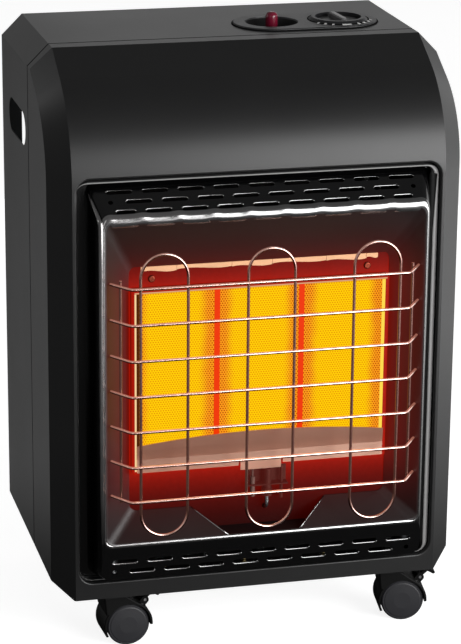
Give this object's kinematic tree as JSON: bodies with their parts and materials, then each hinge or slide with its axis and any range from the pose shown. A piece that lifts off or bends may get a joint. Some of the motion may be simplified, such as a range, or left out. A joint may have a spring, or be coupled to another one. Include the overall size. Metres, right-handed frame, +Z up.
{
  "type": "portable propane heater",
  "caption": "Upright cabinet heater on casters: crowned sheet casing, slotted reflector pan, glowing ceramic plaques behind a wire guard.",
  "frame": {"origin": "on the floor under the middle of the heater's own box", "axes": "+X to the right as seen from the front, +Y from the front to the back, +Z up"},
  "size_m": [0.42, 0.3262, 0.6173],
  "materials": {
    "casing_paint": "satin black powder coat with a fine orange-peel texture",
    "black_enamel": "gloss black heat-proof enamel",
    "burner_steel": "steel plate darkened and tinted by heat",
    "ceramic_plaque": "perforated ceramic plaque, glowing yellow to orange",
    "polished_steel": "bright stainless strip that mirrors the glow",
    "chrome_wire": "bright chrome-plated wire",
    "galvanised_steel": "zinc-coated sheet, faint spangle",
    "zinc_screw": "zinc-plated screws",
    "brass": "turned brass",
    "pipe_steel": "bright tube",
    "cast_valve": "die-cast valve body, fine blasted grain",
    "spindle_steel": "turned steel",
    "white_ceramic": "glazed white sleeve",
    "fibre_gasket": "pale ceramic-fibre strip, slightly ragged",
    "black_moulding": "fine-grained black moulding",
    "red_button": "glossy dark red moulding",
    "caster_plastic": "dark grey moulded nylon",
    "wheel_plastic": "dark moulded wheels, slightly shiny tread"
  },
  "bodies": {
    "cabinet": {"front_casing": "casing_paint", "rear_casing": "casing_paint", "base_pan": "galvanised_steel", "casing_screws": "zinc_screw", "reflector_pan": "black_enamel", "burner_frame": "burner_steel", "flange_screws": "zinc_screw", "gas_manifold": "pipe_steel", "injectors": "brass", "manifold_brackets": "galvanised_steel", "deflector": "polished_steel", "pilot_bracket": "galvanised_steel", "pilot_burner": "brass", "flame_probe": "spindle_steel", "spark_electrode": "white_ceramic", "guard_wires": "chrome_wire", "guard_rods": "chrome_wire", "guard_loops": "chrome_wire", "control_bezel": "black_moulding", "control_bracket": "galvanised_steel", "piezo_igniter": "black_moulding", "gas_valve": "cast_valve", "gas_inlet": "brass", "heat_shield": "galvanised_steel", "gas_pipe": "pipe_steel", "pilot_pipe": "pipe_steel", "tilt_switch": "black_moulding", "caster_sockets": "galvanised_steel", "plaque_left": "ceramic_plaque", "plaque_middle": "ceramic_plaque", "plaque_right": "ceramic_plaque", "burner_gasket": "fibre_gasket", "plenum_left": "burner_steel", "plenum_middle": "burner_steel", "plenum_right": "burner_steel"},
    "valve_plug": {"valve_plug": "brass"},
    "knob": {"control_knob": "black_moulding", "valve_spindle": "spindle_steel"},
    "button": {"ignition_button": "red_button"},
    "caster_front_left": {"caster_hood_front_left": "caster_plastic", "caster_stem_front_left": "spindle_steel", "brake_pin_front_left": "spindle_steel"},
    "wheels_front_left": {"caster_wheels_front_left": "wheel_plastic"},
    "brake_front_left": {"brake_lever_front_left": "caster_plastic"},
    "caster_front_right": {"caster_hood_front_right": "caster_plastic", "caster_stem_front_right": "spindle_steel", "brake_pin_front_right": "spindle_steel"},
    "wheels_front_right": {"caster_wheels_front_right": "wheel_plastic"},
    "brake_front_right": {"brake_lever_front_right": "caster_plastic"},
    "caster_rear_left": {"caster_hood_rear_left": "caster_plastic", "caster_stem_rear_left": "spindle_steel"},
    "wheels_rear_left": {"caster_wheels_rear_left": "wheel_plastic"},
    "caster_rear_right": {"caster_hood_rear_right": "caster_plastic", "caster_stem_rear_right": "spindle_steel"},
    "wheels_rear_right": {"caster_wheels_rear_right": "wheel_plastic"}
  },
  "joints": [
    {"name": "knob_turn", "type": "hinge", "parent": "cabinet", "child": "valve_plug", "pos_m": [0.1245, 0.0579, 0.5785], "axis": [0, 0, 1], "range_deg": [0, 210]},
    {"name": "knob_push", "type": "slide", "parent": "valve_plug", "child": "knob", "axis": [0, 0, -1], "range_m": [0, 0.003], "stiffness_N_per_m": 600, "springref_m": -0.003},
    {"name": "button_push", "type": "slide", "parent": "cabinet", "child": "button", "axis": [0, 0, -1], "range_m": [0, 0.006], "stiffness_N_per_m": 500, "springref_m": -0.003},
    {"name": "swivel_front_left", "type": "hinge", "parent": "cabinet", "child": "caster_front_left", "pos_m": [-0.1475, -0.0896, 0.06], "axis": [0, 0, 1], "continuous": true},
    {"name": "roll_front_left", "type": "hinge", "parent": "caster_front_left", "child": "wheels_front_left", "pos_m": [-0.13352, -0.08887, 0.0223], "axis": [-0.0523, 0.9986, 0], "continuous": true},
    {"name": "brake_front_left", "type": "hinge", "parent": "caster_front_left", "child": "brake_front_left", "pos_m": [-0.11399, -0.08784, 0.04479], "axis": [-0.0523, 0.9986, 0], "range_deg": [0, 30]},
    {"name": "swivel_front_right", "type": "hinge", "parent": "cabinet", "child": "caster_front_right", "pos_m": [0.1475, -0.0896, 0.06], "axis": [0, 0, 1], "continuous": true},
    {"name": "roll_front_right", "type": "hinge", "parent": "caster_front_right", "child": "wheels_front_right", "pos_m": [0.16136, -0.09155, 0.0223], "axis": [0.1392, 0.9903, 0], "continuous": true},
    {"name": "brake_front_right", "type": "hinge", "parent": "caster_front_right", "child": "brake_front_right", "pos_m": [0.18072, -0.09427, 0.04479], "axis": [0.1392, 0.9903, 0], "range_deg": [0, 30]},
    {"name": "swivel_rear_left", "type": "hinge", "parent": "cabinet", "child": "caster_rear_left", "pos_m": [-0.1475, 0.1269, 0.06], "axis": [0, 0, 1], "continuous": true},
    {"name": "roll_rear_left", "type": "hinge", "parent": "caster_rear_left", "child": "wheels_rear_left", "pos_m": [-0.1335, 0.1269, 0.0223], "axis": [0, 1, 0], "continuous": true},
    {"name": "swivel_rear_right", "type": "hinge", "parent": "cabinet", "child": "caster_rear_right", "pos_m": [0.1475, 0.1269, 0.06], "axis": [0, 0, 1], "continuous": true},
    {"name": "roll_rear_right", "type": "hinge", "parent": "caster_rear_right", "child": "wheels_rear_right", "pos_m": [0.1615, 0.1269, 0.0223], "axis": [0, 1, 0], "continuous": true}
  ]
}
